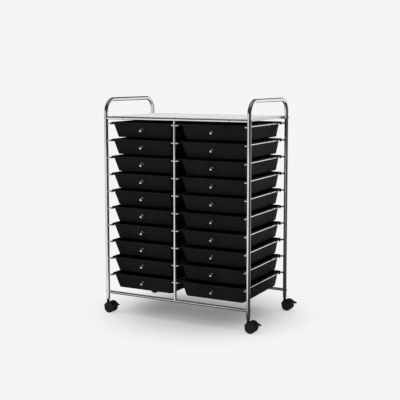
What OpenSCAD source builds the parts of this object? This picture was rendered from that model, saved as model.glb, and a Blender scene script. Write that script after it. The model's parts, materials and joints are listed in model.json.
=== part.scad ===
// Drawer tower on casters: a chrome tube frame that carries two columns of pull-out plastic drawers.
// The floor is z = 0, X runs from left to right as seen from the front, and Y from front to back.
// The origin is the middle of the outer box, on the floor.

/* [Frame] */
// Width between the centres of the side posts
frame_w = 662; // [600:1:720]
// Depth between the centres of the front and rear posts
frame_d = 382; // [340:1:440]
// Diameter of the side tubes
side_tube_d = 16; // [14:0.5:19]
// Wall of the side tubes
side_tube_wall = 1.2; // [0.8:0.1:1.5]
// Diameter of the centre posts
centre_post_d = 12; // [10:0.5:13]
// Wall of the centre posts and of the cross rails
rail_wall = 1; // [0.8:0.1:1.5]
// Diameter of the cross rails
rail_d = 12.5; // [11:0.5:14]
// Bend radius of the handles, at the tube's centre line
handle_bend_r = 55; // [35:1:70]
// Top of the handles above the centre of the top rails
handle_rise = 85; // [76:1:130]
// Centre of the top rails above the centre of the top runners
top_gap = 24.3; // [20:0.1:40]
// Centre of the lowest runners above the centre of the bottom rails
base_gap = 75.7; // [72:0.1:100]
// Centre of the bottom rails above the ends of the side tubes
leg_drop = 30.5; // [29:0.5:50]

/* [Runners] */
// Height from one drawer to the next
row_pitch = 72; // [68:0.5:90]
// Diameter of the runner rods
rod_d = 7; // [5:0.5:8]
// Runner centre line inwards of a side post's centre
side_rod_offset = 22.5; // [22:0.1:28]
// Runner centre line beside a centre post's centre
centre_rod_offset = 19.2; // [19:0.1:26]
// Bend radius of the runner ends
rod_bend_r = 10; // [6:0.5:12]

/* [Drawers] */
// Height of a drawer below its rim
tub_h = 61.3; // [45:0.1:63]
// Thickness of the rim
rim_t = 3; // [2:0.1:4]
// Wall of a drawer
tub_wall = 2.2; // [1.5:0.1:3]
// Slope of the front, from rim to floor
front_draft = 23.5; // [10:0.1:30]
// Slope of the rear, from rim to floor
rear_draft = 9.7; // [4:0.1:20]
// Slope of each side, from rim to floor
side_draft = 8.4; // [4:0.1:15]
// Corner radius of a drawer
corner_r = 12; // [8:0.5:16]
// Edge radius around a drawer's floor
floor_edge_r = 4; // [2:0.5:5]
// Rim beyond the front and rear walls
rim_overhang = 3.3; // [2.8:0.1:5]
// Front edge of the rim behind the front posts' centres
front_set_back = 3; // [1:0.1:8]
// Rear edge of the rim before the rear posts' centres
rear_set_back = 1; // [0.5:0.1:8]
// Height of the turned-down lips at the front and rear of the rim
lip_h = 6; // [4:0.1:8]
// How far a drawer pulls out
drawer_travel = 260; // [180:1:300]

/* [Knobs] */
// Diameter of the ball
knob_d = 16; // [12:0.5:20]
// Ball centre in front of the drawer's face
knob_reach = 12; // [11:0.5:16]
// Knob's centre line below the runner's centre, at the face
knob_drop = 21.4; // [15:0.1:30]
// Diameter of the knob's screw
knob_screw_d = 4; // [3:0.5:5]

/* [Shelf] */
// Thickness of the top shelf
shelf_t = 12; // [8:0.5:16]
// Underside of the shelf below the centre of the top rails
shelf_drop = 4.5; // [3:0.1:6]
// End of the shelf inwards of a side post's centre
shelf_inset = 24; // [10:0.5:40]
// Shelf screws inwards of a side post's centre
shelf_screw_inset = 86; // [50:1:120]

/* [Casters] */
// Radius of the wheels
wheel_r = 22; // [20:0.5:25]
// Width of one wheel
wheel_w = 14; // [10:0.5:16]
// Gap between the twin wheels
wheel_gap = 13; // [12:0.5:16]
// Wheel axle behind the swivel axis
trail = 15; // [14:0.5:18]
// Diameter of the wheel axle
axle_d = 6; // [5:0.5:7]
// Diameter of the swivel stem
stem_d = 8; // [7:0.5:9]
// Diameter of the neck above the hood
neck_d = 11.5; // [11:0.5:13]
// Underside of the socket's collar above the top of the hood
neck_h = 8; // [3:0.5:12]
// Thickness of the hood
hood_t = 1.9; // [1.5:0.1:2.5]

/* [Fits] */
// Gap between a drawer and its runners, and between a caster and its socket
running_gap = 0.3; // [0.2:0.05:0.5]
// Gap between a drawer's side and a runner
side_gap = 1.25; // [0.8:0.05:2]
// Radial clearance of a turning pin in its bore
bore_gap = 0.05; // [0.02:0.01:0.1]
// Gap where a welded or screwed piece meets a tube
seat_gap = 0.05; // [0.02:0.01:0.1]

/* [Hidden] */
ROWS = 10;
COLUMNS = ["left", "right"];
CORNERS = ["front_left", "front_right", "rear_left", "rear_right"];
FRAME_NODES = [
    "side_tube_left", "side_tube_right", "cross_rails", "centre_posts",
    "top_shelf", "runner_rods", "frame_screws", "caster_sockets"
];
function row_name(row) = str(row < 10 ? "0" : "", row);
function drawer_name(col, row) = str("drawer_", COLUMNS[col], "_", row_name(row));
function knob_name(col, row) = str("knob_", COLUMNS[col], "_", row_name(row));

$fn = 48;
corner_fn = 24;
link_fn = 32;
cut = 1; // how far a cutting shape runs past the surface that it cuts

// Caster: the swivel axis is x = 0, the floor is z = 0, and the wheels trail towards +X
hood_gap = 0.6;
hood_r = wheel_r + hood_gap + hood_t;
hood_start = 12; // angles about the axle, from +X upwards
hood_end = 165;
web_gap = 1;
web_w = wheel_gap - 2 * web_gap;
web_foot_z = 12;
wheels_w = wheel_gap + 2 * wheel_w;
wheel_edge_r = 2;
hub_d = 18;
tread_t = 5;
dish_depth = 1.6;
collar_z = wheel_r + hood_r + neck_h;
collar_t = 2;
foot_z = collar_z + collar_t;
neck_root = 4;
stem_l = 19;
socket_l = 23;

// Brake lever: an arm on a pin between the hood's cheeks, and a pedal above the hood
function round_axle(r, angle) = [trail + r * cos(angle), wheel_r + r * sin(angle)];
pedal_gap = 0.5;
pedal_w = 14;
pedal_root_d = 4.4;
pedal_tip_d = 3;
pedal_run = [21, -8.5];
pedal_angle = 50;
pedal_root = round_axle(hood_r + pedal_gap + pedal_root_d / 2, pedal_angle);
pedal_tip = pedal_root + pedal_run;
lever_w = 5;
lever_t = 4;
lever_eye_d = 7;
lever_pin_d = 3;
pivot_angle = 40;
lever_pivot = round_axle(hood_r - hood_t - lever_eye_d / 2 - pedal_gap, pivot_angle);
slot_gap = 0.6;
slot_inner_r = 11;
slot_start = 24;
slot_end = 64;

// Heights of the frame
bottom_rail_z = foot_z + leg_drop;
first_rod_z = bottom_rail_z + base_gap;
top_rod_z = first_rod_z + (ROWS - 1) * row_pitch;
top_rail_z = top_rod_z + top_gap;
handle_z = top_rail_z + handle_rise - side_tube_d / 2;
bend_z = handle_z - handle_bend_r;

// Screws
frame_screw_d = 5;
frame_screw_head_d = 8.5;
post_screw_d = 4;
post_screw_head_d = 7;
screw_head_h = 2;
screw_slot_w = 1;
screw_slot_depth = 0.9;
rail_plug_l = 22;
post_plug_l = 16;
plug_spare = 6; // how far a plug runs past the screw's tip
shelf_pilot_l = 14;
shelf_pilot_spare = 3;
shelf_edge_r = 1.5;

// Plan: one bay on each side of the centre posts
half_w = frame_w / 2;
half_d = frame_d / 2;
rod_span = half_w - side_rod_offset - centre_rod_offset;
bay_x = centre_rod_offset + rod_span / 2;
box_mid_x = (pedal_tip[0] + pedal_tip_d / 2 - side_tube_d / 2 - screw_head_h) / 2;

// Drawer: the bay's middle is x = 0, and the runners' centre line is z = 0
hook_gap = 0.4;
hook_t = 2;
hook_l = 8;
nib_l = 4;
nib_h = 3;
rim_z = rod_d / 2 + running_gap;
rim_half_w = rod_span / 2 + rod_d / 2 + hook_gap + hook_t;
rim_front_y = -half_d + front_set_back;
rim_rear_y = half_d - rear_set_back;
tub_half_w = rod_span / 2 - rod_d / 2 - side_gap;
tub_front_y = rim_front_y + rim_overhang;
tub_rear_y = rim_rear_y - rim_overhang;
lip_t = 2.2;
stop_gap = 0.5;
rod_end_y = half_d - rod_bend_r - stop_gap;
front_slope = front_draft / (tub_h - floor_edge_r);
front_angle = atan(front_slope);
face_wall = tub_wall * cos(front_angle);
knob_y = tub_front_y + (rim_z + knob_drop) * front_slope;
knob_neck_d = 6.8;
knob_base_d = 10;
knob_base_t = 1.5;
knob_hole_end = 1;
knob_screw_head_d = 8;
knob_screw_head_h = 2.4;
knob_screw_grip = 9;
knob_hole_gap = 0.15;

// The frame's own middle is x = 0 inside every module, and this puts the outer box over the origin
module on_the_floor() {
    translate([-box_mid_x, 0, 0]) children();
}

module rod_along_x(length, d) {
    rotate([0, 90, 0]) cylinder(h = length, d = d);
}

module rod_along_y(length, d) {
    rotate([-90, 0, 0]) cylinder(h = length, d = d);
}

// A quarter bend in the XY plane, from +X round to +Y
module quarter_bend(r, d) {
    rotate_extrude(angle = 90) translate([r, 0]) circle(d = d);
}

module at_corners() {
    for (sx = [-1, 1], sy = [-1, 1]) translate([sx * half_w, sy * half_d, 0]) children();
}

// Screw with a cross slot: the head's seat is z = 0, the head is above it and the shank below
module screw(d, head_d, head_h, length) {
    slot_l = head_d - 3 * screw_slot_w;
    difference() {
        union() {
            cylinder(h = head_h, d = head_d);
            translate([0, 0, -length]) cylinder(h = length, d = d);
        }
        for (turn = [0, 90]) rotate([0, 0, turn])
            translate([-slot_l / 2, -screw_slot_w / 2, head_h - screw_slot_depth])
                cube([slot_l, screw_slot_w, screw_slot_depth + cut]);
    }
}

// ---- frame ----

module side_tube_path(d, foot) {
    for (side = [0, 1]) mirror([0, side, 0]) {
        translate([0, half_d, foot]) cylinder(h = bend_z - foot, d = d);
        translate([0, half_d - handle_bend_r, bend_z]) rotate([90, 0, 90])
            quarter_bend(handle_bend_r, d);
    }
    translate([0, -half_d + handle_bend_r, handle_z]) rod_along_y(frame_d - 2 * handle_bend_r, d);
}

module side_tube() {
    difference() {
        side_tube_path(side_tube_d, foot_z);
        side_tube_path(side_tube_d - 2 * side_tube_wall, foot_z - cut);
        for (sy = [-1, 1], z = [bottom_rail_z, top_rail_z])
            translate([-side_tube_d, sy * half_d, z])
                rod_along_x(2 * side_tube_d, frame_screw_d + 2 * seat_gap);
    }
}

module side_tube_left() {
    on_the_floor() color("silver") translate([-half_w, 0, 0]) side_tube();
}

module side_tube_right() {
    on_the_floor() color("silver") translate([half_w, 0, 0]) side_tube();
}

// One rail with a threaded plug in each end, coped to the side posts and drilled for the centre post
module cross_rail() {
    difference() {
        translate([-half_w, 0, 0]) rod_along_x(frame_w, rail_d);
        translate([-half_w + side_tube_d / 2 + rail_plug_l, 0, 0])
            rod_along_x(frame_w - side_tube_d - 2 * rail_plug_l, rail_d - 2 * rail_wall);
        for (side = [-1, 1]) {
            translate([side * half_w, 0, -rail_d])
                cylinder(h = 2 * rail_d, d = side_tube_d + 2 * seat_gap);
            translate([side * (half_w - rail_plug_l) - rail_plug_l, 0, 0])
                rod_along_x(2 * rail_plug_l, frame_screw_d + 2 * seat_gap);
        }
        translate([0, 0, -rail_d]) cylinder(h = 2 * rail_d, d = post_screw_d + 2 * seat_gap);
    }
}

module cross_rails() {
    on_the_floor() color("silver") for (sy = [-1, 1]) {
        translate([0, sy * half_d, bottom_rail_z]) cross_rail();
        translate([0, sy * half_d, top_rail_z]) difference() {
            cross_rail();
            for (side = [-1, 1])
                translate([side * (half_w - shelf_screw_inset), -rail_d, 0])
                    rod_along_y(2 * rail_d, post_screw_d + 2 * seat_gap);
        }
    }
}

// Post between the bottom and top rails, with a threaded plug in each end
module centre_post() {
    length = top_rail_z - bottom_rail_z;
    plug_end = rail_d / 2 + post_plug_l;
    bore_l = plug_end + cut;
    difference() {
        cylinder(h = length, d = centre_post_d);
        translate([0, 0, plug_end])
            cylinder(h = length - 2 * plug_end, d = centre_post_d - 2 * rail_wall);
        for (z = [0, length]) {
            translate([-centre_post_d, 0, z]) rod_along_x(2 * centre_post_d, rail_d + 2 * seat_gap);
            translate([0, 0, z - bore_l]) cylinder(h = 2 * bore_l, d = post_screw_d + 2 * seat_gap);
        }
    }
}

module centre_posts() {
    on_the_floor() color("silver")
        for (sy = [-1, 1]) translate([0, sy * half_d, bottom_rail_z]) centre_post();
}

module top_shelf() {
    edge_y = half_d - rail_d / 2 - 2 * seat_gap;
    end_x = half_w - shelf_inset;
    screw_x = half_w - shelf_screw_inset;
    on_the_floor() color("whitesmoke") translate([0, 0, top_rail_z - shelf_drop]) difference() {
        translate([-end_x, -edge_y, 0]) cube([2 * end_x, 2 * edge_y, shelf_t]);
        for (side = [0, 1]) mirror([side, 0, 0]) {
            // the end's upper edge is rounded
            translate([end_x - shelf_edge_r, -edge_y - cut, shelf_t - shelf_edge_r]) difference() {
                cube([shelf_edge_r + cut, 2 * (edge_y + cut), shelf_edge_r + cut]);
                translate([0, -cut, 0]) rod_along_y(2 * edge_y + 4 * cut, 2 * shelf_edge_r);
            }
            for (sy = [-1, 1]) translate([screw_x, sy * edge_y - shelf_pilot_l, shelf_drop])
                rod_along_y(2 * shelf_pilot_l, post_screw_d + 2 * seat_gap);
        }
    }
}

// One runner: the rod is x = 0, and both of its ends turn towards +X to a post
module runner_rod(offset, post_d) {
    straight = frame_d - 2 * rod_bend_r;
    translate([0, -straight / 2, 0]) rod_along_y(straight, rod_d);
    for (side = [0, 1]) mirror([0, side, 0]) {
        translate([rod_bend_r, -straight / 2, 0]) rotate([0, 0, 180]) quarter_bend(rod_bend_r, rod_d);
        difference() {
            translate([rod_bend_r, -half_d, 0]) rod_along_x(offset - rod_bend_r, rod_d);
            translate([offset, -half_d, -rod_d]) cylinder(h = 2 * rod_d, d = post_d + 2 * seat_gap);
        }
    }
}

module runner_rods() {
    on_the_floor() color("silver")
        for (side = [0, 1], row = [0:ROWS - 1]) mirror([side, 0, 0])
            translate([0, 0, first_rod_z + row * row_pitch]) {
                translate([half_w - side_rod_offset, 0, 0]) runner_rod(side_rod_offset, side_tube_d);
                translate([centre_rod_offset, 0, 0]) mirror([1, 0, 0])
                    runner_rod(centre_rod_offset, centre_post_d);
            }
}

module frame_screws() {
    on_the_floor() color("gainsboro") {
        // through the side posts into the rail ends
        for (side = [0, 1], sy = [-1, 1], z = [bottom_rail_z, top_rail_z]) mirror([side, 0, 0])
            translate([half_w + side_tube_d / 2, sy * half_d, z]) rotate([0, 90, 0])
                screw(
                    frame_screw_d, frame_screw_head_d, screw_head_h, side_tube_d + rail_plug_l - plug_spare
                );
        for (sy = [-1, 1]) translate([0, sy * half_d, 0]) {
            // through the rails into the ends of the centre posts
            translate([0, 0, top_rail_z + rail_d / 2])
                screw(post_screw_d, post_screw_head_d, screw_head_h, rail_d + post_plug_l - plug_spare);
            translate([0, 0, bottom_rail_z - rail_d / 2]) mirror([0, 0, 1])
                screw(post_screw_d, post_screw_head_d, screw_head_h, rail_d + post_plug_l - plug_spare);
        }
        // through the top rails into the edges of the shelf
        for (side = [-1, 1], face = [0, 1]) mirror([0, face, 0])
            translate([side * (half_w - shelf_screw_inset), -half_d - rail_d / 2, top_rail_z])
                rotate([90, 0, 0]) screw(
                    post_screw_d, post_screw_head_d, screw_head_h,
                    rail_d + shelf_pilot_l - shelf_pilot_spare
                );
    }
}

// Plastic plug in the end of each side post, with the bore for a caster's stem
module caster_sockets() {
    on_the_floor() color("dimgray") at_corners() difference() {
        union() {
            translate([0, 0, collar_z]) cylinder(h = collar_t, d = side_tube_d);
            translate([0, 0, foot_z])
                cylinder(h = socket_l, d = side_tube_d - 2 * side_tube_wall - 2 * seat_gap);
        }
        translate([0, 0, collar_z - cut])
            cylinder(h = collar_t + socket_l + 2 * cut, d = stem_d + 2 * bore_gap);
    }
}

// ---- drawers ----

// Corner posts for a hull: their radius grows by growth over the height h, up to r
module corner_posts(reach_x, front_y, rear_y, r, z, h, growth) {
    for (sx = [-1, 1], y = [front_y + r, rear_y - r])
        translate([sx * (reach_x - r), y, z]) cylinder(h = h, r1 = r - growth, r2 = r, $fn = corner_fn);
}

// The tub's solid shape, drawn in by a wall for its hollow, with its sides parallel to the outer ones
module tub_form(wall, top) {
    slope = 1 - wall / (tub_h - floor_edge_r);
    hull() {
        corner_posts(
            tub_half_w - wall - slope * side_draft, tub_front_y + wall + slope * front_draft,
            tub_rear_y - wall - slope * rear_draft, corner_r - wall,
            rim_z - tub_h + wall, floor_edge_r, floor_edge_r
        );
        corner_posts(
            tub_half_w - wall, tub_front_y + wall, tub_rear_y - wall, corner_r - wall, rim_z, top, 0
        );
    }
}

module rim_plate() {
    hull() corner_posts(rim_half_w, rim_front_y, rim_rear_y, corner_r, rim_z, rim_t, 0);
}

// Hooks at the rear that reach round the runners, and stop against their bent ends when the drawer is shut
module rear_hooks() {
    toe_z = -rod_d / 2 - hook_gap - hook_t;
    for (side = [0, 1]) mirror([side, 0, 0]) translate([0, rod_end_y - hook_l, toe_z]) {
        translate([rim_half_w - hook_t, 0, 0]) cube([hook_t, hook_l, rim_z - toe_z]);
        translate([rod_span / 2, 0, 0]) cube([rim_half_w - rod_span / 2, hook_l, hook_t]);
    }
}

// Nibs under the rim that stop against the runners' front bends when the drawer is fully out
module stop_nibs() {
    for (side = [0, 1]) mirror([side, 0, 0])
        translate([rim_half_w - hook_t, drawer_travel - rod_end_y, rim_z - nib_h])
            cube([hook_t, nib_l, nib_h]);
}

module drawer() {
    lip_half_w = tub_half_w - corner_r;
    color("#202020") difference() {
        union() {
            tub_form(0, rim_t);
            rim_plate();
            for (y = [rim_front_y, rim_rear_y - lip_t])
                translate([-lip_half_w, y, rim_z + rim_t - lip_h]) cube([2 * lip_half_w, lip_t, lip_h]);
            rear_hooks();
            stop_nibs();
        }
        tub_form(tub_wall, rim_t + cut);
        on_the_face()
            cylinder(h = 4 * tub_wall, d = knob_screw_d + 2 * knob_hole_gap, center = true);
    }
}

// Puts z = 0 on the front face at the knob, with +Z square to the face and outwards
module on_the_face() {
    translate([0, knob_y, -knob_drop]) rotate([90 + front_angle, 0, 0]) children();
}

module in_bay(col, row) {
    translate([(2 * col - 1) * bay_x, 0, top_rod_z - (row - 1) * row_pitch]) children();
}

// Ball knob on a short neck, with a blind threaded hole, and the screw that holds it from inside
module knob() {
    color("gainsboro") {
        difference() {
            union() {
                translate([0, 0, knob_reach]) sphere(d = knob_d);
                translate([0, 0, seat_gap]) cylinder(h = knob_reach - seat_gap, d = knob_neck_d);
                translate([0, 0, seat_gap]) cylinder(h = knob_base_t, d = knob_base_d);
            }
            translate([0, 0, -cut])
                cylinder(h = cut + knob_screw_grip + knob_hole_end, d = knob_screw_d + 2 * seat_gap);
        }
        translate([0, 0, -face_wall - seat_gap]) mirror([0, 0, 1])
            screw(knob_screw_d, knob_screw_head_d, knob_screw_head_h, face_wall + knob_screw_grip);
    }
}

// ---- casters ----

// A link of a Y width between two points of the XZ plane, with round ends of their own diameters
module link(a, a_d, b, b_d, width) {
    rotate([90, 0, 0]) linear_extrude(width, center = true) hull() {
        translate(a) circle(d = a_d, $fn = link_fn);
        translate(b) circle(d = b_d, $fn = link_fn);
    }
}

// A round bar along Y through a point of the XZ plane
module bead(point, d, width) {
    translate([point[0], -width / 2, point[1]]) rod_along_y(width, d);
}

// A slice of a ring about the wheels' axle, from one angle to another
module ring_slice(start, end, inner, outer, width) {
    translate([trail, 0, wheel_r]) rotate([90, 0, 0]) rotate([0, 0, start])
        rotate_extrude(angle = end - start) translate([inner, -width / 2]) square([outer - inner, width]);
}

module caster_hood() {
    neck_foot = wheel_r + hood_r - hood_t - neck_root;
    color("#1c1c1c") difference() {
        union() {
            ring_slice(hood_start, hood_end, hood_r - hood_t, hood_r, wheels_w);
            // the web between the wheels carries the axle
            bead([trail, wheel_r], 2 * hood_r - hood_t, web_w);
            translate([-neck_d / 2, -web_w / 2, wheel_r]) cube([neck_d, web_w, neck_foot - wheel_r]);
            translate([0, 0, neck_foot])
                cylinder(h = collar_z - running_gap - neck_foot, d = neck_d);
            translate([0, 0, neck_foot]) cylinder(h = foot_z + stem_l - neck_foot, d = stem_d);
        }
        translate([trail - hood_r, -web_w, wheel_r - hood_r])
            cube([2 * hood_r, 2 * web_w, web_foot_z - wheel_r + hood_r]);
        bead([trail, wheel_r], axle_d + 2 * bore_gap, 2 * web_w);
        // the lever's slot leaves its pin standing
        difference() {
            ring_slice(slot_start, slot_end, slot_inner_r, hood_r + cut, lever_w + 2 * slot_gap);
            bead(lever_pivot, lever_pin_d, 2 * web_w);
        }
    }
}

// One wheel: its inner face is z = 0, and its outer face is dished between hub and tread
module wheel() {
    rotate_extrude() difference() {
        union() {
            translate([0, wheel_edge_r]) square([wheel_r, wheel_w - 2 * wheel_edge_r]);
            square([wheel_r - wheel_edge_r, wheel_w]);
            for (z = [wheel_edge_r, wheel_w - wheel_edge_r])
                translate([wheel_r - wheel_edge_r, z]) circle(r = wheel_edge_r);
        }
        translate([0, -cut]) square([(axle_d + seat_gap) / 2, wheel_w + 2 * cut]);
        translate([hub_d / 2, wheel_w - dish_depth])
            square([wheel_r - tread_t - hub_d / 2, dish_depth + cut]);
    }
}

module caster_wheels() {
    color("#262626") translate([trail, 0, wheel_r]) {
        for (side = [0, 1]) mirror([0, side, 0]) translate([0, wheel_gap / 2, 0])
            rotate([-90, 0, 0]) wheel();
        translate([0, -wheels_w / 2 + cut, 0]) rod_along_y(wheels_w - 2 * cut, axle_d);
    }
}

module brake_lever() {
    color("#161616") difference() {
        union() {
            link(lever_pivot, lever_eye_d, pedal_root, lever_t, lever_w);
            link(pedal_root, pedal_root_d, pedal_tip, pedal_tip_d, pedal_w);
        }
        bead(lever_pivot, lever_pin_d + 2 * bore_gap, 2 * lever_w);
    }
}

// Corners 0 and 1 are in front, and 0 and 2 on the left
module at_corner(corner) {
    translate([(corner % 2 == 0 ? -1 : 1) * half_w, (corner < 2 ? -1 : 1) * half_d, 0]) children();
}

side_tube_left();
side_tube_right();
cross_rails();
centre_posts();
top_shelf();
runner_rods();
frame_screws();
caster_sockets();
for (col = [0, 1], row = [1:ROWS]) {
    on_the_floor() in_bay(col, row) drawer();
    on_the_floor() in_bay(col, row) on_the_face() knob();
}
for (corner = [0:3]) {
    on_the_floor() at_corner(corner) caster_hood();
    on_the_floor() at_corner(corner) caster_wheels();
    on_the_floor() at_corner(corner) brake_lever();
}
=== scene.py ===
"""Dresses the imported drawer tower: smooth chrome, moulded plastic and a laminated shelf in a pale studio.

Every length is in metres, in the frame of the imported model: +X to the right, +Y to the rear, +Z up.
"""

import json
import math

import bmesh
import bpy
from mathutils import Matrix, Vector


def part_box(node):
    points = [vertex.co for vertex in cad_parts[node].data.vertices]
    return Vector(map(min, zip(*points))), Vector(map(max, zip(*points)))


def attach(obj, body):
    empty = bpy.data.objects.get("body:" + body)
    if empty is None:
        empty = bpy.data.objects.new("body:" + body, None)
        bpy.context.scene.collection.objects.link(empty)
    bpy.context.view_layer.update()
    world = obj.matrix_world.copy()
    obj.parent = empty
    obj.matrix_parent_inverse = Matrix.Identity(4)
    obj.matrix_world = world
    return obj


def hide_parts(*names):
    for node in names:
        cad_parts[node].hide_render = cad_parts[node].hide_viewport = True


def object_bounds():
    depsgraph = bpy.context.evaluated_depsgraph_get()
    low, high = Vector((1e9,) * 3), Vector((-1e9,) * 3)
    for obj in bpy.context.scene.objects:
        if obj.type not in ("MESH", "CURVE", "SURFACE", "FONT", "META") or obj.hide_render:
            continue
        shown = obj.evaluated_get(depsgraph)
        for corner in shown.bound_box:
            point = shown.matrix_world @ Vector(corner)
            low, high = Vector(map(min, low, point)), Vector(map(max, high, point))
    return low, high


MM = 0.001
X_AXIS = 0
Z_AXIS = 2
ROWS = 10
COLUMNS = ("left", "right")
CORNERS = ("front_left", "front_right", "rear_left", "rear_right")

# ---- camera, fitted to the photograph's 400 x 400 frame ----
CAMERA_AT = (1.6685, -3.1905, 0.9997)
CAMERA_YAW = 27.704  # degrees, to the left of +Y
CAMERA_PITCH = 5.801  # degrees, downwards
FOCAL_PIXELS = 851.7
AXIS_ROW = 165.0  # the pixel row that the camera's axis meets
FRAME_PIXELS = 400.0
SENSOR = 36.0  # millimetres, the unit of Blender's sensor and lens
SIGHT = 60  # how far the camera sees

# ---- frame sizes that the nodes' boxes don't give ----
HANDLE_BEND_R = 55 * MM
RAIL_D = 12.5 * MM
CENTRE_POST_D = 12 * MM
ROD_D = 7 * MM
ROD_BEND_R = 10 * MM
SEAT_GAP = 0.05 * MM
WELD_FLARE = 0.9 * MM
WELD_L = 1.6 * MM
WELD_SHAPE = ((0.2, 0.55), (0.5, 0.2), (1.0, 0.0))  # shares of the weld's length, and of its flare there
POST_SIDES = 40
RAIL_SIDES = 36
ROD_SIDES = 24
HANDLE_BEND_STEPS = 20
ROD_BEND_STEPS = 8
SMALL_EDGE_R = 0.4 * MM  # on sockets, knobs, wheels and axles
SHELF_SCREW_INSET = 86 * MM
FRAME_SCREW_D = 5 * MM
FRAME_SCREW_HEAD_D = 8.5 * MM
POST_SCREW_D = 4 * MM
POST_SCREW_HEAD_D = 7 * MM
SCREW_HEAD_H = 2 * MM
SCREW_L = 12 * MM
SCREW_SIDES = 48
SCREW_TIP = 0.25  # a shank's chamfer, as a share of its diameter
SCREW_HEAD_EDGE = 0.2 * MM
DOME_ANGLES = (8, 25, 42, 58)
DOME_FLAT = 0.45  # the flat middle of a head, as a share of its radius
DOME_FOOT = 0.35  # the part of a head below its dome, as a share of its height
SLOT_W = 1 * MM
SLOT_DEPTH = 0.9 * MM
SLOT_INSET = 1.5 * MM  # from the head's edge to the slot's end
SLOT_EDGE = 0.15 * MM
SLOT_MOUTH = 1.06  # the slot's size at its mouth, as a share of its size just below it
SLOT_FLOOR = 0.8  # and at its floor
SLOT_FACE = 0.99  # the height of the slot's mouth, as a share of the head's

# ---- drawer and knob ----
RUNNING_GAP = 0.3 * MM
TUB_H = 61.3 * MM
RIM_T = 3 * MM
TUB_WALL = 2.2 * MM
RIM_OVERHANG = 3.3 * MM
RIM_REACH = 10.65 * MM  # from a tub's side wall out to the rim's edge
FRONT_DRAFT = 23.5 * MM
REAR_DRAFT = 9.7 * MM
SIDE_DRAFT = 8.4 * MM
CORNER_R = 12 * MM
CORNER_STEPS = 8
FLOOR_EDGE_R = 4 * MM
FLOOR_EDGE_STEPS = 5
FLOOR_RING_INSET = 3 * MM  # from the floor's rounded edge to the ring that its flat middle closes
EDGE_R = 0.5 * MM
LIP_T = 2.2 * MM
LIP_DROP = 3 * MM
LIP_SHAPE = ((0.985, 0.03), (0.965, 0.35), (0.945, 0.85), (0.925, 1.0))  # shares of half a side, of the drop
HOOK_T = 2 * MM
HOOK_L = 8 * MM
HOOK_GAP = 0.4 * MM
NIB_L = 4 * MM
NIB_H = 3 * MM
ROOT_L = 0.5 * MM  # how deep hooks and nibs reach into the drawer
DRAWER_TRAVEL = 260 * MM
STOP_GAP = 0.5 * MM
KNOB_DROP = 21.4 * MM
KNOB_R = 8 * MM
KNOB_REACH = 12 * MM
KNOB_NECK_R = 3.4 * MM
KNOB_WAIST_R = 0.9 * MM
KNOB_BALL_START = 0.6  # how far the ball begins outside its neck, as a share of the waist's radius
KNOB_BALL_END = 88  # degrees up to the last ring before the ball's pole
KNOB_BALL_STEPS = 24
KNOB_SIDES = 40
KNOB_BASE_R = 5 * MM
KNOB_BASE_T = 1.5 * MM
KNOB_SCREW_HEAD_D = 8 * MM
KNOB_SCREW_HEAD_H = 2.4 * MM
KNOB_SCREW_D = 4 * MM

# ---- shelf ----
BOARD_EDGE_R = 0.4 * MM
BAND_T = 1.2 * MM
BAND_PROUD = 0.15 * MM
BAND_EDGE_R = 0.5 * MM

# ---- casters ----
WHEEL_R = 22 * MM
WHEEL_W = 14 * MM
WHEEL_GAP = 13 * MM
WHEEL_EDGE_R = 2 * MM
WHEEL_SIDES = 64
HUB_R = 9 * MM
HUB_RECESS = (0.62, 0.58)  # shares of the hub's radius at the mouth and the floor of its recess
TREAD_T = 5 * MM
DISH_DEPTH = 1.6 * MM
AXLE_R = 3 * MM
AXLE_SET_BACK = 1 * MM  # from a wheel's outer face to the axle's end
AXLE_SIDES = 32
TRAIL = 15 * MM
PLUG_R = 6.75 * MM
PLUG_SIDES = 48
STEM_BORE_R = 4.05 * MM


# ---- mesh helpers ----

CREASE = math.radians(50)
BOX_EDGE_SEGMENTS = 3
AREA_WEIGHT = 100  # twice the usual 50, so that large faces lead the normals
ON_AXIS = 1e-9  # a radius below this is a point on the axis
TINY = 1e-6  # stands in for a sine or cosine of 0


def new_object(name, bm, finish):
    """A smooth-shaded mesh object of a bmesh, with normals weighted by face area and creases kept sharp."""
    bmesh.ops.recalc_face_normals(bm, faces=bm.faces)
    for edge in bm.edges:
        edge.smooth = not (edge.is_manifold and edge.calc_face_angle() > CREASE)
    for face in bm.faces:
        face.smooth = True
    mesh = bpy.data.meshes.new(name)
    bm.to_mesh(mesh)
    bm.free()
    mesh.materials.append(finish)
    piece = bpy.data.objects.new(name, mesh)
    bpy.context.scene.collection.objects.link(piece)
    weigh_normals(piece)
    return piece


def weigh_normals(piece):
    """Large faces lead the shading, and creases stay sharp."""
    weighted = piece.modifiers.new("weighted_normals", "WEIGHTED_NORMAL")
    weighted.weight = AREA_WEIGHT
    weighted.keep_sharp = True


def place(piece, body, slot, *nodes):
    """The piece rides on a body and stands for CAD nodes, which it hides. The slot is not used."""
    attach(piece, body)
    if nodes:
        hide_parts(*nodes)
    return piece


def add_loft(bm, rings):
    """Quads between rings of equal length, with a cap at either end."""
    rows = [[bm.verts.new(point) for point in ring] for ring in rings]
    count = len(rows[0])
    for low, high in zip(rows, rows[1:]):
        for i in range(count):
            j = (i + 1) % count
            bm.faces.new((low[i], low[j], high[j], high[i]))
    bm.faces.new(list(reversed(rows[0])))
    bm.faces.new(rows[-1])
    return rows


def seat(at, turn, axis):
    """A matrix that sets a piece at a place, turned about an axis from standing upright."""
    return Matrix.Translation(at) @ Matrix.Rotation(turn, 4, axis)


def round_turn(count):
    """The angles of equal steps round a full turn."""
    return [2 * math.pi * i / count for i in range(count)]


def arc(centre, radius, start, end, steps):
    """Points on an arc in a plane, with angles in degrees."""
    angles = [math.radians(start + (end - start) * i / steps) for i in range(steps + 1)]
    return [(centre[0] + radius * math.cos(a), centre[1] + radius * math.sin(a)) for a in angles]


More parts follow.
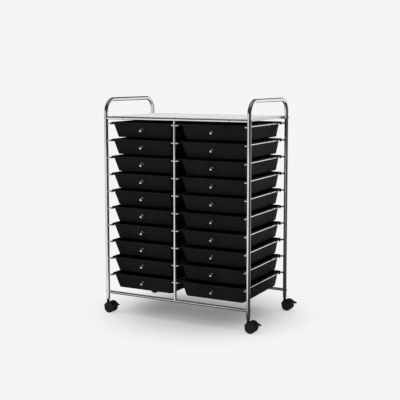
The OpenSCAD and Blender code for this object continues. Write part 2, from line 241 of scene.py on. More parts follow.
def add_tube(bm, path, radius, sides, flare=0.0, flare_l=0.0):
    """A round bar along a path. Both ends may flare, as a weld does where a rod meets a post."""
    points = [Vector(p) for p in path]
    extra = [0.0] * len(points)
    if flare:
        start = (points[1] - points[0]).normalized()
        end = (points[-1] - points[-2]).normalized()
        for share, grow in reversed(WELD_SHAPE):
            points.insert(1, points[0] + start * flare_l * share)
            extra.insert(1, flare * grow)
        for share, grow in reversed(WELD_SHAPE):
            points.insert(len(points) - 1, points[-1] - end * flare_l * share)
            extra.insert(len(extra) - 1, flare * grow)
        extra[0] = extra[-1] = flare
    tangents = []
    for i, point in enumerate(points):
        into = point - points[i - 1] if i else points[1] - point
        out = points[i + 1] - point if i + 1 < len(points) else into
        tangents.append((into.normalized() + out.normalized()).normalized())
    normal = tangents[0].orthogonal().normalized()
    rings = []
    for point, tangent, grow in zip(points, tangents, extra):
        normal = (normal - normal.dot(tangent) * tangent).normalized()
        side = tangent.cross(normal)
        reach = radius + grow
        turns = round_turn(sides)
        rings.append([point + reach * (math.cos(a) * normal + math.sin(a) * side) for a in turns])
    return add_loft(bm, rings)


def cope(ring, along, centre, radius, towards):
    """Fits an end ring to a round bar. The bar's centre is a place along an axis, and one along Y."""
    for vert in ring:
        reach = math.sqrt(max(radius ** 2 - (vert.co.y - centre[1]) ** 2, 0.0))
        vert.co[along] = centre[0] + towards * reach


def add_spin(bm, profile, matrix, sides, closed=False):
    """A profile of (radius, height) turned about Z. A radius of 0 closes it at the axis."""
    rows = []
    for radius, height in profile:
        turns = [0] if radius < ON_AXIS else round_turn(sides)
        ring = [Vector((radius * math.cos(a), radius * math.sin(a), height)) for a in turns]
        rows.append([bm.verts.new(matrix @ point) for point in ring])
    pairs = list(zip(rows, rows[1:]))
    if closed:
        pairs.append((rows[-1], rows[0]))
    for low, high in pairs:
        for i in range(sides):
            j = (i + 1) % sides
            quad = [low[i % len(low)], low[j % len(low)], high[j % len(high)], high[i % len(high)]]
            bm.faces.new(list(dict.fromkeys(quad)))


def add_box(bm, low, high, edge_r):
    """A box with rounded edges."""
    centre = (Vector(low) + Vector(high)) / 2
    size = Vector(high) - Vector(low)
    shape = Matrix.Translation(centre) @ Matrix.Diagonal((*size, 1))
    made = bmesh.ops.create_cube(bm, size=1, matrix=shape)
    edges = list({edge for vert in made["verts"] for edge in vert.link_edges})
    bmesh.ops.bevel(bm, geom=edges, offset=edge_r, segments=BOX_EDGE_SEGMENTS, profile=0.5, affect="EDGES")


def add_screw(bm, matrix, head_d, head_h, shank_d, shank_l):
    """A screw with a domed head and a cross slot. Its seat is z = 0, with the head above it."""
    head_r = head_d / 2
    shank_r = shank_d / 2
    tip = shank_d * SCREW_TIP
    slot_l = head_r - SLOT_INSET
    slot_half = SLOT_W / 2

    def ring(radius, z):
        """A round ring of the screw."""
        turns = round_turn(SCREW_SIDES)
        return [matrix @ Vector((radius * math.cos(a), radius * math.sin(a), z)) for a in turns]

    def cross(scale, z):
        """A ring with the cross slot's outline."""
        points = []
        for a in round_turn(SCREW_SIDES):
            cosine = max(abs(math.cos(a)), TINY)
            sine = max(abs(math.sin(a)), TINY)
            bar = min(slot_l / cosine, slot_half / sine)
            other_bar = min(slot_half / cosine, slot_l / sine)
            radius = max(bar, other_bar) * scale
            points.append(matrix @ Vector((radius * math.cos(a), radius * math.sin(a), z)))
        return points

    rings = [ring(tip, -shank_l), ring(shank_r, -shank_l + tip), ring(shank_r, 0)]
    rings += [ring(head_r - SCREW_HEAD_EDGE, 0), ring(head_r, SCREW_HEAD_EDGE)]
    for angle in DOME_ANGLES:
        across = DOME_FLAT + (1 - DOME_FLAT) * math.cos(math.radians(angle))
        up = DOME_FOOT + (1 - DOME_FOOT) * math.sin(math.radians(angle))
        rings.append(ring(head_r * across, head_h * up))
    rings += [cross(SLOT_MOUTH, head_h * SLOT_FACE), cross(1.0, head_h - SLOT_EDGE)]
    rings += [cross(SLOT_FLOOR, head_h - SLOT_DEPTH)]
    add_loft(bm, rings)


# ---- materials ----

BLUE = 1.06  # how much more blue than red the black plastic is
SOFT_EDGE_W = 0.3 * MM  # the bevel on CAD nodes that stay
SOFT_EDGE_SEGMENTS = 2
SOFT_EDGE_CREASE = math.radians(35)
SAME_POINT = 0.01 * MM  # points of a CAD node that lie closer than this are one


def material(name):
    """A new node material, its tree and its Principled shader."""
    made = bpy.data.materials.new(name)
    made.use_nodes = True
    tree = made.node_tree
    return made, tree, tree.nodes["Principled BSDF"]


def noise(tree, scale, detail, roughness=0.5):
    """A noise texture in the piece's own coordinates, with its scale in waves to the metre."""
    coordinates = tree.nodes.new("ShaderNodeTexCoord")
    texture = tree.nodes.new("ShaderNodeTexNoise")
    texture.inputs["Scale"].default_value = scale
    texture.inputs["Detail"].default_value = detail
    texture.inputs["Roughness"].default_value = roughness
    tree.links.new(coordinates.outputs["Object"], texture.inputs["Vector"])
    return texture.outputs["Fac"]


def ramp(tree, source, low, high, start=0.3, end=0.7):
    """Maps a value from start..end, where most noise lies, to low..high, smoothly and clamped."""
    made = tree.nodes.new("ShaderNodeMapRange")
    made.interpolation_type = "SMOOTHSTEP"
    made.inputs["From Min"].default_value = start
    made.inputs["From Max"].default_value = end
    made.inputs["To Min"].default_value = low
    made.inputs["To Max"].default_value = high
    tree.links.new(source, made.inputs["Value"])
    return made.outputs["Result"]


def colours(tree, source, low, high):
    """Mixes two colours by a value."""
    made = tree.nodes.new("ShaderNodeMix")
    made.data_type = "RGBA"
    made.inputs[6].default_value = (*low, 1)
    made.inputs[7].default_value = (*high, 1)
    tree.links.new(source, made.inputs["Factor"])
    return made.outputs[2]


def bump(tree, shader, source, strength, distance):
    """Fine relief in the shading by a value."""
    made = tree.nodes.new("ShaderNodeBump")
    made.inputs["Strength"].default_value = strength
    made.inputs["Distance"].default_value = distance
    tree.links.new(source, made.inputs["Height"])
    tree.links.new(made.outputs["Normal"], shader.inputs["Normal"])


def chrome(name, low, high, rough_low, rough_high):
    """Polished plate: faint clouding in its colour and polish, and a trace of orange peel."""
    made, tree, shader = material(name)
    shader.inputs["Metallic"].default_value = 1.0
    clouding = ramp(tree, noise(tree, scale=22, detail=4), 0, 1)
    polish = ramp(tree, noise(tree, scale=260, detail=2), rough_low, rough_high)
    tree.links.new(colours(tree, clouding, low, high), shader.inputs["Base Color"])
    tree.links.new(polish, shader.inputs["Roughness"])
    bump(tree, shader, noise(tree, scale=90, detail=1), strength=0.05, distance=0.2 * MM)
    return made


def plastic(name, low, high, rough_low, rough_high, grain, specular):
    """Near-black moulded plastic: slight mottling, uneven gloss and a fine moulded grain."""
    made, tree, shader = material(name)
    shader.inputs["Specular IOR Level"].default_value = specular
    mottle = ramp(tree, noise(tree, scale=9, detail=5, roughness=0.6), 0, 1)
    tint = colours(tree, mottle, (low, low, low * BLUE), (high, high, high * BLUE))
    gloss = ramp(tree, noise(tree, scale=34, detail=4), rough_low, rough_high)
    tree.links.new(tint, shader.inputs["Base Color"])
    tree.links.new(gloss, shader.inputs["Roughness"])
    bump(tree, shader, noise(tree, scale=1500, detail=1), strength=grain, distance=0.1 * MM)
    return made


def laminate(name, low, high, rough_low, rough_high, grain, specular):
    """White melamine board: faint clouding and a fine pearl grain."""
    made, tree, shader = material(name)
    shader.inputs["Specular IOR Level"].default_value = specular
    clouding = ramp(tree, noise(tree, scale=6, detail=3), 0, 1)
    fleck = noise(tree, scale=420, detail=2)
    tree.links.new(colours(tree, clouding, low, high), shader.inputs["Base Color"])
    tree.links.new(ramp(tree, fleck, rough_low, rough_high), shader.inputs["Roughness"])
    bump(tree, shader, fleck, strength=grain, distance=0.1 * MM)
    return made


# ---- frame and camera ----

def make_camera():
    """The fitted camera, with its shift worked out from the row that its axis meets."""
    data = bpy.data.cameras.new("camera")
    data.sensor_width = SENSOR
    data.lens = FOCAL_PIXELS * SENSOR / FRAME_PIXELS
    data.shift_y = (AXIS_ROW - FRAME_PIXELS / 2) / FRAME_PIXELS
    data.clip_end = SIGHT
    camera = bpy.data.objects.new("camera", data)
    camera.location = CAMERA_AT
    camera.rotation_euler = (math.radians(90 - CAMERA_PITCH), 0, math.radians(CAMERA_YAW))
    bpy.context.scene.collection.objects.link(camera)
    bpy.context.scene.camera = camera


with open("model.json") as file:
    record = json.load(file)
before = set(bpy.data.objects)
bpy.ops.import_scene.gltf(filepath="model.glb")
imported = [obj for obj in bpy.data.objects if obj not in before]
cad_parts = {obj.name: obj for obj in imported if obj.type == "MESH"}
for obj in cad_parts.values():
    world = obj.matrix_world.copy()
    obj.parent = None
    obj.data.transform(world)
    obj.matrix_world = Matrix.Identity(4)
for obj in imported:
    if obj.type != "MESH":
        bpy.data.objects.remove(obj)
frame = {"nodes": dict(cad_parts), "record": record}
cad_low, cad_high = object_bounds()
make_camera()
bpy.context.scene.view_settings.view_transform = "Standard"

# Metals: darkest and lightest colour, then smallest and greatest roughness.
CHROME = chrome("chrome_plate", (0.74, 0.74, 0.75), (0.84, 0.84, 0.85), 0.05, 0.11)
KNOB_CHROME = chrome("knob_chrome", (0.80, 0.80, 0.81), (0.86, 0.86, 0.87), 0.03, 0.07)
SCREW_STEEL = chrome("screw_steel", (0.55, 0.55, 0.56), (0.70, 0.70, 0.71), 0.18, 0.3)
# The rest: the same four, then the grain's strength and the specular level.
DRAWER_PLASTIC = plastic("drawer_plastic", 0.012, 0.016, 0.30, 0.42, 0.12, 0.01)
CASTER_PLASTIC = plastic("caster_plastic", 0.007, 0.012, 0.38, 0.50, 0.20, 0.20)
WHEEL_PLASTIC = plastic("wheel_plastic", 0.012, 0.019, 0.40, 0.55, 0.20, 0.40)
LEVER_PLASTIC = plastic("lever_plastic", 0.006, 0.010, 0.36, 0.48, 0.20, 0.20)
BOARD = laminate("shelf_laminate", (0.76, 0.76, 0.77), (0.81, 0.81, 0.81), 0.42, 0.55, 0.08, 0.03)
BY_SLOT = {
    "chrome_tube": CHROME, "chrome_rod": CHROME, "knob_chrome": KNOB_CHROME, "screw_steel": SCREW_STEEL,
    "drawer_plastic": DRAWER_PLASTIC, "caster_plastic": CASTER_PLASTIC, "wheel_plastic": WHEEL_PLASTIC,
    "lever_plastic": LEVER_PLASTIC, "shelf_board": BOARD,
}


def dress_node(node, slot):
    """A CAD node that stays: its material, soft edges and weighted normals."""
    node.data.materials.clear()
    node.data.materials.append(BY_SLOT[slot])
    weld = node.modifiers.new("weld", "WELD")
    weld.merge_threshold = SAME_POINT
    edges = node.modifiers.new("soft_edges", "BEVEL")
    edges.width = SOFT_EDGE_W
    edges.segments = SOFT_EDGE_SEGMENTS
    edges.limit_method = "ANGLE"
    edges.angle_limit = SOFT_EDGE_CREASE
    weigh_normals(node)


for part in frame["record"]["subparts"]:
    dress_node(frame["nodes"][part["node"]], part["material_slot"])


# ---- places worked out from the frame's boxes ----

left_low, left_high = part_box("side_tube_left")
right_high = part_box("side_tube_right")[1]
rails_low, rails_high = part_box("cross_rails")
rods_low, rods_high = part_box("runner_rods")
socket_low, socket_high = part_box("caster_sockets")

POST_R = (left_high.x - left_low.x) / 2
FOOT_Z = left_low.z
HANDLE_Z = left_high.z - POST_R
POST_Y = left_high.y - POST_R
POST_X = {"left": left_low.x + POST_R, "right": right_high.x - POST_R}
MIDDLE_X = (POST_X["left"] + POST_X["right"]) / 2
BOTTOM_RAIL_Z = rails_low.z + RAIL_D / 2
TOP_RAIL_Z = rails_high.z - RAIL_D / 2
FIRST_ROD_Z = rods_low.z + ROD_D / 2
ROW_PITCH = (rods_high.z - rods_low.z - ROD_D) / (ROWS - 1)


# ---- tubes, rails and runner rods ----

def make_side_tube(side):
    """One bent tube: a front post, the handle and a rear post."""
    x = POST_X[side]
    bend_z = HANDLE_Z - HANDLE_BEND_R
    front = arc((-POST_Y + HANDLE_BEND_R, bend_z), HANDLE_BEND_R, 180, 90, HANDLE_BEND_STEPS)
    rear = arc((POST_Y - HANDLE_BEND_R, bend_z), HANDLE_BEND_R, 90, 0, HANDLE_BEND_STEPS)
    path = [(-POST_Y, FOOT_Z)] + front + rear + [(POST_Y, FOOT_Z)]
    bm = bmesh.new()
    add_tube(bm, [(x, y, z) for y, z in path], POST_R, POST_SIDES)
    name = f"side_tube_{side}"
    place(new_object(f"{name}_bend", bm, CHROME), "frame", "chrome_tube", name)


def make_rails():
    """Four straight rails between the posts, coped to them."""
    bm = bmesh.new()
    ends = (POST_X["left"] + POST_R, MIDDLE_X, POST_X["right"] - POST_R)
    for y in (-POST_Y, POST_Y):
        for z in (BOTTOM_RAIL_Z, TOP_RAIL_Z):
            rows = add_tube(bm, [(x, y, z) for x in ends], RAIL_D / 2, RAIL_SIDES)
            cope(rows[0], X_AXIS, (POST_X["left"], y), POST_R + SEAT_GAP, 1)
            cope(rows[-1], X_AXIS, (POST_X["right"], y), POST_R + SEAT_GAP, -1)
    place(new_object("rails", bm, CHROME), "frame", "chrome_tube", "cross_rails")


def make_centre_posts():
    """A front and a rear post between the rails, coped to them."""
    bm = bmesh.new()
    seat_r = RAIL_D / 2 + SEAT_GAP
    for y in (-POST_Y, POST_Y):
        path = [(MIDDLE_X, y, BOTTOM_RAIL_Z + seat_r), (MIDDLE_X, y, TOP_RAIL_Z - seat_r)]
        rows = add_tube(bm, path, CENTRE_POST_D / 2, RAIL_SIDES)
        cope(rows[0], Z_AXIS, (BOTTOM_RAIL_Z, y), seat_r, 1)
        cope(rows[-1], Z_AXIS, (TOP_RAIL_Z, y), seat_r, -1)
    place(new_object("middle_posts", bm, CHROME), "frame", "chrome_tube", "centre_posts")


def add_runner(bm, post_x, post_r, rod_x, z):
    """A rod along Y with both ends bent to a post and welded to it."""
    turn = 1 if post_x > rod_x else -1
    bend_x = rod_x + turn * ROD_BEND_R
    bend_y = POST_Y - ROD_BEND_R
    end_x = post_x - turn * (post_r + SEAT_GAP)
    quarter = arc((0, 0), ROD_BEND_R, 90, 180, ROD_BEND_STEPS)  # from the end's direction to the rod's
    front = [(bend_x + turn * px, -bend_y - py) for px, py in quarter]
    rear = [(x, -y) for x, y in reversed(front)]
    path = [(end_x, -POST_Y)] + front + rear + [(end_x, POST_Y)]
    rows = add_tube(bm, [(x, y, z) for x, y in path], ROD_D / 2, ROD_SIDES, WELD_FLARE, WELD_L)
    for ring, y in ((rows[0], -POST_Y), (rows[-1], POST_Y)):
        cope(ring, X_AXIS, (post_x, y), post_r + SEAT_GAP, -turn)


def make_runners():
    """Two rods under each drawer, in the seats that its hooks leave."""
    bm = bmesh.new()
    for column in COLUMNS:
        low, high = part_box(f"drawer_{column}_01")
        reach = HOOK_T + HOOK_GAP + ROD_D / 2
        left, right = low.x + reach, high.x - reach
        outer, inner = (left, right) if column == "left" else (right, left)
        for row in range(ROWS):
            z = FIRST_ROD_Z + row * ROW_PITCH
            add_runner(bm, POST_X[column], POST_R, outer, z)
            add_runner(bm, MIDDLE_X, CENTRE_POST_D / 2, inner, z)
    place(new_object("runners", bm, CHROME), "frame", "chrome_rod", "runner_rods")


def make_frame_screws():
    """Screws through the posts into the rails, and through the rails into centre posts and shelf."""
    bm = bmesh.new()
    post_screw = (POST_SCREW_HEAD_D, SCREW_HEAD_H, POST_SCREW_D, SCREW_L)
    for sx, x in ((-1, POST_X["left"]), (1, POST_X["right"])):
        for y in (-POST_Y, POST_Y):
            for z in (BOTTOM_RAIL_Z, TOP_RAIL_Z):
                side = seat((x + sx * POST_R, y, z), sx * math.pi / 2, "Y")
                add_screw(bm, side, FRAME_SCREW_HEAD_D, SCREW_HEAD_H, FRAME_SCREW_D, SCREW_L)
    for sy in (-1, 1):
        for sz, z, turn in ((1, TOP_RAIL_Z, 0), (-1, BOTTOM_RAIL_Z, math.pi)):
            add_screw(bm, seat((MIDDLE_X, sy * POST_Y, z + sz * RAIL_D / 2), turn, "X"), *post_screw)
        for x in (POST_X["left"] + SHELF_SCREW_INSET, POST_X["right"] - SHELF_SCREW_INSET):
            face = seat((x, sy * (POST_Y + RAIL_D / 2), TOP_RAIL_Z), -sy * math.pi / 2, "X")
            add_screw(bm, face, *post_screw)
    place(new_object("screws", bm, SCREW_STEEL), "frame", "screw_steel", "frame_screws")


def make_shelf():
    """The board with a thin edging band on each end, rounded along its edges."""
    low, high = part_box("top_shelf")
    inset = Vector((BAND_T, BAND_PROUD, BAND_PROUD))
    bm = bmesh.new()
    add_box(bm, low + inset, high - inset, BOARD_EDGE_R)
    for x in (low.x, high.x - BAND_T):
        add_box(bm, (x, low.y, low.z), (x + BAND_T, high.y, high.z), BAND_EDGE_R)
    place(new_object("shelf_board", bm, BOARD), "frame", "shelf_board", "top_shelf")


def make_sockets():
    """The plug and collar in the end of each post, with the bore for a stem."""
    bm = bmesh.new()
    edge = SMALL_EDGE_R
    collar_z = socket_low.z
    profile = [(STEM_BORE_R, collar_z), (POST_R - edge, collar_z)]
    profile += arc((POST_R - edge, collar_z + edge), edge, -60, 0, 3)
    profile += [(POST_R, FOOT_Z), (PLUG_R, FOOT_Z), (PLUG_R, socket_high.z), (STEM_BORE_R, socket_high.z)]
    for x in POST_X.values():
        for y in (-POST_Y, POST_Y):
            add_spin(bm, profile, Matrix.Translation((x, y, 0)), PLUG_SIDES, closed=True)
    place(new_object("leg_plugs", bm, CASTER_PLASTIC), "frame", "caster_plastic", "caster_sockets")


for side in COLUMNS:
    make_side_tube(side)
make_rails()
make_centre_posts()
make_runners()
make_frame_screws()
make_shelf()
make_sockets()


# ---- drawers and knobs ----

def drawer_ring(half_x, front, rear, radius, z, drop=0.0):
    """A rounded rectangle. A drop lowers its front and rear edges between the corners, to form a lip."""
    points = []
    flat = half_x - radius
    along = LIP_SHAPE + tuple((-across, down) for across, down in reversed(LIP_SHAPE))
    for sx, sy, y, start in ((1, -1, front, -90), (1, 1, rear, 0), (-1, 1, rear, 90), (-1, -1, front, 180)):
        corner = arc((sx * flat, y - sy * radius), radius, start, start + 90, CORNER_STEPS)
        points += [(px, py, z) for px, py in corner]
        if sx == sy:  # the rear side follows one such corner, and the front side the other
            points += [(sx * flat * across, y, z - drop * down) for across, down in along]
    return points


def drawer_rings(half_w, front, rear, floor_z, rim_top):
    """The drawer's skin as rings, from the floor's underside round the rim to the floor inside."""
    rim_z = rim_top - RIM_T
    top_half = half_w - RIM_REACH
    top_front = front + RIM_OVERHANG
    top_rear = rear - RIM_OVERHANG
    depth = rim_z - floor_z - FLOOR_EDGE_R
    flat_inset = FLOOR_EDGE_R + FLOOR_RING_INSET
    inside = floor_z + TUB_WALL

    def tub(wall, z, inset=0.0):
        """A ring of the sloping tub, a wall's thickness inside its outer face."""
        share = min(max((rim_z - z) / depth, 0.0), 1.0)
        return drawer_ring(
            top_half - wall - share * SIDE_DRAFT - inset, top_front + wall + share * FRONT_DRAFT + inset,
            top_rear - wall - share * REAR_DRAFT - inset, CORNER_R - wall - inset, z)

    def rim(inset, z, drop=0.0):
        """A ring of the flat rim, with its lips as far down as the drop."""
        return drawer_ring(half_w - inset, front + inset, rear - inset, CORNER_R - inset, z, drop)

    def floor_edge(wall, base):
        """The rounded edge of the floor, from the wall down to the floor."""
        rings = []
        for i in range(FLOOR_EDGE_STEPS + 1):
            a = math.radians(90 * i / FLOOR_EDGE_STEPS)
            drop, inset = FLOOR_EDGE_R * math.sin(a), FLOOR_EDGE_R * (1 - math.cos(a))
            rings.append(tub(wall, base + FLOOR_EDGE_R - drop, inset))
        return rings

    # The tub's outside, up to the underside of the rim.
    rings = [tub(0, floor_z, flat_inset)]
    rings += reversed(floor_edge(0, floor_z))
    rings += [tub(0, rim_z - 2 * EDGE_R), tub(0, rim_z - EDGE_R), tub(0, rim_z, -EDGE_R)]
    # The lip's inner face and lower edge. Here and below, the shares of EDGE_R round the edges.
    rings += [rim(LIP_T + EDGE_R, rim_z), rim(LIP_T, rim_z, 0.8 * LIP_DROP)]
    rings += [rim(LIP_T - EDGE_R, rim_z, LIP_DROP)]
    rings += [rim(EDGE_R, rim_z, LIP_DROP), rim(0.2 * EDGE_R, rim_z + 0.2 * EDGE_R, LIP_DROP)]
    # The outer face and top of the rim.
    rings += [rim(0, rim_z + EDGE_R, LIP_DROP - EDGE_R), rim(0, rim_top - 2 * EDGE_R)]
    rings += [rim(0.3 * EDGE_R, rim_top - 0.4 * EDGE_R), rim(EDGE_R, rim_top - 0.1 * EDGE_R)]
    rings += [rim(2 * EDGE_R, rim_top), tub(TUB_WALL, rim_top, -2 * EDGE_R)]
    # The tub's inside, down to its floor.
    rings += [tub(TUB_WALL, rim_top - 0.3 * EDGE_R, -0.7 * EDGE_R), tub(TUB_WALL, rim_top - 1.5 * EDGE_R)]
    rings += floor_edge(TUB_WALL, inside)
    rings += [tub(TUB_WALL, inside, flat_inset)]
    return rings


def make_drawer(name, low, high):
    """The drawer with its rear hooks and stop nibs."""
    half_w = (high.x - low.x) / 2
    rim_z = high.z - RIM_T
    rod_z = rim_z - RUNNING_GAP - ROD_D / 2
    rod_x = half_w - HOOK_T - HOOK_GAP - ROD_D / 2
    toe_z = rod_z - ROD_D / 2 - HOOK_GAP - HOOK_T
    rod_end = POST_Y - ROD_BEND_R - STOP_GAP
    nib_y = DRAWER_TRAVEL - rod_end
    bm = bmesh.new()
    add_loft(bm, drawer_rings(half_w, low.y, high.y, low.z, high.z))
    for side in (-1, 1):
        outer = sorted((side * half_w, side * (half_w - HOOK_T)))
        toe = sorted((side * (half_w - ROOT_L), side * rod_x))
        add_box(bm, (outer[0], rod_end - HOOK_L, toe_z), (outer[1], rod_end, rim_z + ROOT_L), EDGE_R)
        add_box(bm, (toe[0], rod_end - HOOK_L, toe_z), (toe[1], rod_end, toe_z + HOOK_T), EDGE_R)
        add_box(bm, (outer[0], nib_y, rim_z - NIB_H), (outer[1], nib_y + NIB_L, rim_z + ROOT_L), EDGE_R)
    bmesh.ops.translate(bm, verts=bm.verts, vec=((low.x + high.x) / 2, 0, 0))
    place(new_object(name + "_shell", bm, DRAWER_PLASTIC), name, "drawer_plastic", name)


def knob_profile():
    """Base disc, waisted neck and ball, from the seat outwards."""
    edge = SMALL_EDGE_R
    waist = KNOB_WAIST_R
    ball_start = -math.degrees(math.acos((KNOB_NECK_R + waist * KNOB_BALL_START) / KNOB_R))
    profile = [(0, SEAT_GAP), (KNOB_BASE_R - edge, SEAT_GAP), (KNOB_BASE_R, SEAT_GAP + edge)]
    profile += arc((KNOB_BASE_R - edge, KNOB_BASE_T - edge), edge, 0, 90, 4)
    profile += arc((KNOB_NECK_R + waist, KNOB_BASE_T + waist), waist, 270, 180, 4)
    profile += arc((0, KNOB_REACH), KNOB_R, ball_start, KNOB_BALL_END, KNOB_BALL_STEPS)
    return profile + [(0, KNOB_REACH + KNOB_R)]


def make_knob(column, row, low, high):
    """The ball knob, square to the sloping face, and its screw inside the drawer."""
    slope = FRONT_DRAFT / (TUB_H - FLOOR_EDGE_R)
    angle = math.atan(slope)
    rod_z = high.z - RIM_T - RUNNING_GAP - ROD_D / 2
    face_y = low.y + RIM_OVERHANG + (ROD_D / 2 + RUNNING_GAP + KNOB_DROP) * slope
    face = seat(((low.x + high.x) / 2, face_y, rod_z - KNOB_DROP), math.pi / 2 + angle, "X")
    wall = TUB_WALL * math.cos(angle)
    bm = bmesh.new()
    add_spin(bm, knob_profile(), face, KNOB_SIDES)
    inside = face @ seat((0, 0, -wall - SEAT_GAP), math.pi, "X")
    add_screw(bm, inside, KNOB_SCREW_HEAD_D, KNOB_SCREW_HEAD_H, KNOB_SCREW_D, wall)
    piece = new_object(f"knob_{column}_{row:02d}_ball", bm, KNOB_CHROME)
    place(piece, f"drawer_{column}_{row:02d}", "knob_chrome", f"knob_{column}_{row:02d}")


for column in COLUMNS:
    for row in range(1, ROWS + 1):
        drawer_low, drawer_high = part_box(f"drawer_{column}_{row:02d}")
        make_drawer(f"drawer_{column}_{row:02d}", drawer_low, drawer_high)
        make_knob(column, row, drawer_low, drawer_high)


# ---- casters ----

def wheel_profile():
    """One wheel from its bore outwards and back: inner face, rounded tread, raised rim, dish and hub."""
    edge = SMALL_EDGE_R
    dish_r = WHEEL_R - TREAD_T
    dish_z = WHEEL_W - DISH_DEPTH
    recess = [HUB_R * share for share in HUB_RECESS]
    profile = [(AXLE_R, 0), (WHEEL_R - WHEEL_EDGE_R, 0)]
    profile += arc((WHEEL_R - WHEEL_EDGE_R, WHEEL_EDGE_R), WHEEL_EDGE_R, -75, 0, 5)
    profile += arc((WHEEL_R - WHEEL_EDGE_R, WHEEL_W - WHEEL_EDGE_R), WHEEL_EDGE_R, 0, 90, 6)
    profile += arc((dish_r + edge, WHEEL_W - edge), edge, 90, 180, 3)
    profile += arc((dish_r - edge, dish_z + edge), edge, 0, -90, 3)
    profile += arc((HUB_R + edge, dish_z + edge), edge, 270, 180, 3)
    profile += arc((HUB_R - edge, WHEEL_W - edge), edge, 0, 90, 3)
    profile += [(recess[0], WHEEL_W), (recess[1], WHEEL_W - edge), (AXLE_R, WHEEL_W - edge)]
    return profile


def make_wheels(corner, x, y):
    """Twin wheels on their axle, trailing behind the swivel."""
    bm = bmesh.new()
    for turn in (-1, 1):
        outwards = seat((x + TRAIL, y + turn * WHEEL_GAP / 2, WHEEL_R), -turn * math.pi / 2, "X")
        add_spin(bm, wheel_profile(), outwards, WHEEL_SIDES, closed=True)
    end = WHEEL_GAP / 2 + WHEEL_W - AXLE_SET_BACK
    edge = SMALL_EDGE_R
    axle = [(0, -end), (AXLE_R - edge, -end), (AXLE_R, -end + edge)]
    axle += [(AXLE_R, end - edge), (AXLE_R - edge, end), (0, end)]
    add_spin(bm, axle, seat((x + TRAIL, y, WHEEL_R), math.pi / 2, "X"), AXLE_SIDES)
    name = f"caster_wheels_{corner}"
    place(new_object(name + "_pair", bm, WHEEL_PLASTIC), f"wheels_{corner}", "wheel_plastic", name)


for corner in CORNERS:
    post_y = -POST_Y if corner.startswith("front") else POST_Y
    make_wheels(corner, POST_X[corner.split("_")[1]], post_y)


# ---- studio ----

BACKDROP = 0.913  # what the camera sees behind the tower
FILL = 0.82  # even light from all round
FLOOR = 0.88  # the floor's own colour
FLOOR_ROUGHNESS = 0.9
FLOOR_R = 9
FLOOR_SIDES = 96
FLOOR_HAZE = 0.15  # the backdrop's share of the floor beside the tower
FADE = (0.2, 0.56)  # distances from the middle between which the floor fades into the backdrop
PANEL_AT = (-0.4, -0.5, 2.6)
PANEL_SIDE = 1.8
PANEL_LEVEL = 1.3

# ---- what polished surfaces see: the pale backdrop through openings between dark flags, as chrome is
# photographed. Headings and half widths are in degrees, from +X towards +Y. ----
DARK = 0.035
KEY = {"heading": -134.4, "half": 32, "edge": 8, "level": BACKDROP}
REAR = {"heading": 65.6, "half": 15, "edge": 6, "level": BACKDROP}
SIDE = {"heading": -37.4, "half": 15, "edge": 20, "level": 0.07}  # a dim one
# FLOOR_KEY and NEAR_FLOOR shape what metal sees of the floor: a painted glow in the key's heading, and
# painted shade near the tower.
FLOOR_KEY = {"heading": -122.4, "half": 45, "edge": 8, "level": BACKDROP}  # KEY's light on the floor
KEY_TOP = (0.10, 0.28)  # sines of the elevations between which the front openings end
REAR_TOP = (0.34, 0.44)
CEILING = 0.3
CEILING_RISE = (0.72, 0.92)  # sines of the elevations between which the ceiling takes over
NEAR_FLOOR = (0.08, 0.20)  # distances outside the tower between which the floor comes out of its shade


def maths(tree, operation, first, second):
    """One step of arithmetic on two values, each a number or a socket."""
    node = tree.nodes.new("ShaderNodeMath")
    node.operation = operation
    for socket, value in zip(node.inputs, (first, second)):
        if isinstance(value, float):
            socket.default_value = value
        else:
            tree.links.new(value, socket)
    return node.outputs[0]


def vector_maths(tree, operation, vector, other=(0, 0, 0), output="Vector"):
    """One step on a vector socket, with a constant vector where the step takes two."""
    node = tree.nodes.new("ShaderNodeVectorMath")
    node.operation = operation
    tree.links.new(vector, node.inputs[0])
    node.inputs[1].default_value = other
    return node.outputs[output]


def separate(tree, vector):
    """A vector's three parts, by name."""
    split = tree.nodes.new("ShaderNodeSeparateXYZ")
    tree.links.new(vector, split.inputs[0])
    return split.outputs


def pick(tree, flag, level, other):
    """A level where the ray has the flag, or else the other level."""
    on = maths(tree, "MULTIPLY", flag, level)
    off = maths(tree, "MULTIPLY", maths(tree, "SUBTRACT", 1.0, flag), other)
    return maths(tree, "ADD", on, off)


def highest(tree, levels):
    """The highest of several levels."""
    top = levels[0]
    for level in levels[1:]:
        top = maths(tree, "MAXIMUM", top, level)
    return top


def opening_level(tree, flat, opening):
    """An opening's level where a horizontal direction lies within its half width, and 0 past its edge."""
    heading = math.radians(opening["heading"])
    facing = vector_maths(tree, "DOT_PRODUCT", flat, (math.cos(heading), math.sin(heading), 0), "Value")
    inner = math.cos(math.radians(opening["half"]))
    outer = math.cos(math.radians(opening["half"] + opening["edge"]))
    return ramp(tree, facing, 0, opening["level"], outer, inner)


def opening_levels(tree, vector, *openings):
    """The openings' levels in a vector's heading."""
    flat = vector_maths(tree, "NORMALIZE", vector_maths(tree, "MULTIPLY", vector, (1, 1, 0)))
    return [opening_level(tree, flat, opening) for opening in openings]


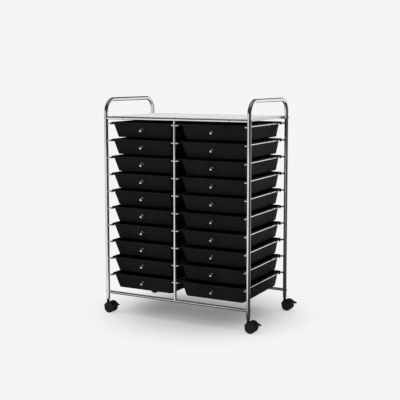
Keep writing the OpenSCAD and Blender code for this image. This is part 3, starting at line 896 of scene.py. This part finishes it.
def make_world():
    """The backdrop for the camera, an even fill for soft light, and openings between flags for metal."""
    world = bpy.data.worlds.new("studio")
    bpy.context.scene.world = world
    world.use_nodes = True
    tree = world.node_tree
    background = tree.nodes["Background"]
    direction = tree.nodes.new("ShaderNodeTexCoord").outputs["Generated"]
    ray = tree.nodes.new("ShaderNodeLightPath").outputs
    height = separate(tree, direction)["Z"]

    levels = [ramp(tree, height, DARK, CEILING, *CEILING_RISE)]
    tops = (KEY_TOP, REAR_TOP, KEY_TOP)
    for level, top in zip(opening_levels(tree, direction, KEY, REAR, SIDE), tops):
        levels.append(maths(tree, "MULTIPLY", level, ramp(tree, height, 1, 0, *top)))
    level = pick(tree, ray["Is Glossy Ray"], highest(tree, levels), FILL)
    level = pick(tree, ray["Is Camera Ray"], BACKDROP, level)
    level = pick(tree, ray["Is Transmission Ray"], BACKDROP, level)
    tree.links.new(level, background.inputs["Color"])
    background.inputs["Strength"].default_value = 1.0


def glow(tree, level):
    """A surface that shows a level, whatever light falls on it."""
    node = tree.nodes.new("ShaderNodeEmission")
    tree.links.new(level, node.inputs["Color"])
    return node.outputs[0]


def mix_shaders(tree, share, first, second):
    """The second shader by its share, and the first for the rest."""
    mix = tree.nodes.new("ShaderNodeMixShader")
    tree.links.new(share, mix.inputs["Fac"])
    tree.links.new(first, mix.inputs[1])
    tree.links.new(second, mix.inputs[2])
    return mix.outputs[0]


def make_floor():
    """A wide pale disc that holds the shadow near the tower and fades into the backdrop. Metal sees on it a
    painted glow: painted light in the key's heading and painted shade near the tower.
    """
    bm = bmesh.new()
    bmesh.ops.create_circle(bm, cap_ends=True, segments=FLOOR_SIDES, radius=FLOOR_R)
    made, tree, shader = material("floor")
    shader.inputs["Base Color"].default_value = (FLOOR, FLOOR, FLOOR, 1)
    shader.inputs["Roughness"].default_value = FLOOR_ROUGHNESS
    shader.inputs["Specular IOR Level"].default_value = 0.0
    place_on_floor = tree.nodes.new("ShaderNodeTexCoord").outputs["Object"]
    ray = tree.nodes.new("ShaderNodeLightPath").outputs

    backdrop = tree.nodes.new("ShaderNodeEmission")
    backdrop.inputs["Color"].default_value = (BACKDROP, BACKDROP, BACKDROP, 1)
    distance = vector_maths(tree, "LENGTH", place_on_floor, output="Value")
    fade = maths(tree, "MULTIPLY", ramp(tree, distance, FLOOR_HAZE, 1, *FADE), ray["Is Camera Ray"])
    surface = mix_shaders(tree, fade, shader.outputs[0], backdrop.outputs[0])

    # What metal sees of the floor is painted light: a glow in the key's heading, darkened near the tower as
    # painted shade, whatever light falls there.
    edges = (cad_high.x, cad_high.y, 0)  # the tower stands about the origin
    beyond = vector_maths(tree, "SUBTRACT", vector_maths(tree, "ABSOLUTE", place_on_floor), edges)
    beyond = separate(tree, beyond)
    outside = ramp(tree, maths(tree, "MAXIMUM", beyond["X"], beyond["Y"]), 0, 1, *NEAR_FLOOR)
    painted_floor_light = highest(tree, opening_levels(tree, place_on_floor, FLOOR_KEY, REAR, SIDE))
    painted_floor_light = maths(tree, "MAXIMUM", maths(tree, "MULTIPLY", painted_floor_light, outside), DARK)
    surface = mix_shaders(tree, ray["Is Glossy Ray"], surface, glow(tree, painted_floor_light))
    tree.links.new(surface, tree.nodes["Material Output"].inputs["Surface"])
    new_object("floor", bm, made)


def make_top_panel():
    """A soft square panel above the tower, facing down, at a level where 1 is white."""
    data = bpy.data.lights.new("top_panel", "AREA")
    data.shape = "SQUARE"
    data.size = PANEL_SIDE
    data.energy = PANEL_LEVEL * math.pi * PANEL_SIDE ** 2
    panel = bpy.data.objects.new("top_panel", data)
    panel.location = PANEL_AT
    panel.visible_camera = False
    panel.visible_glossy = False
    bpy.context.scene.collection.objects.link(panel)


make_world()
make_floor()
make_top_panel()
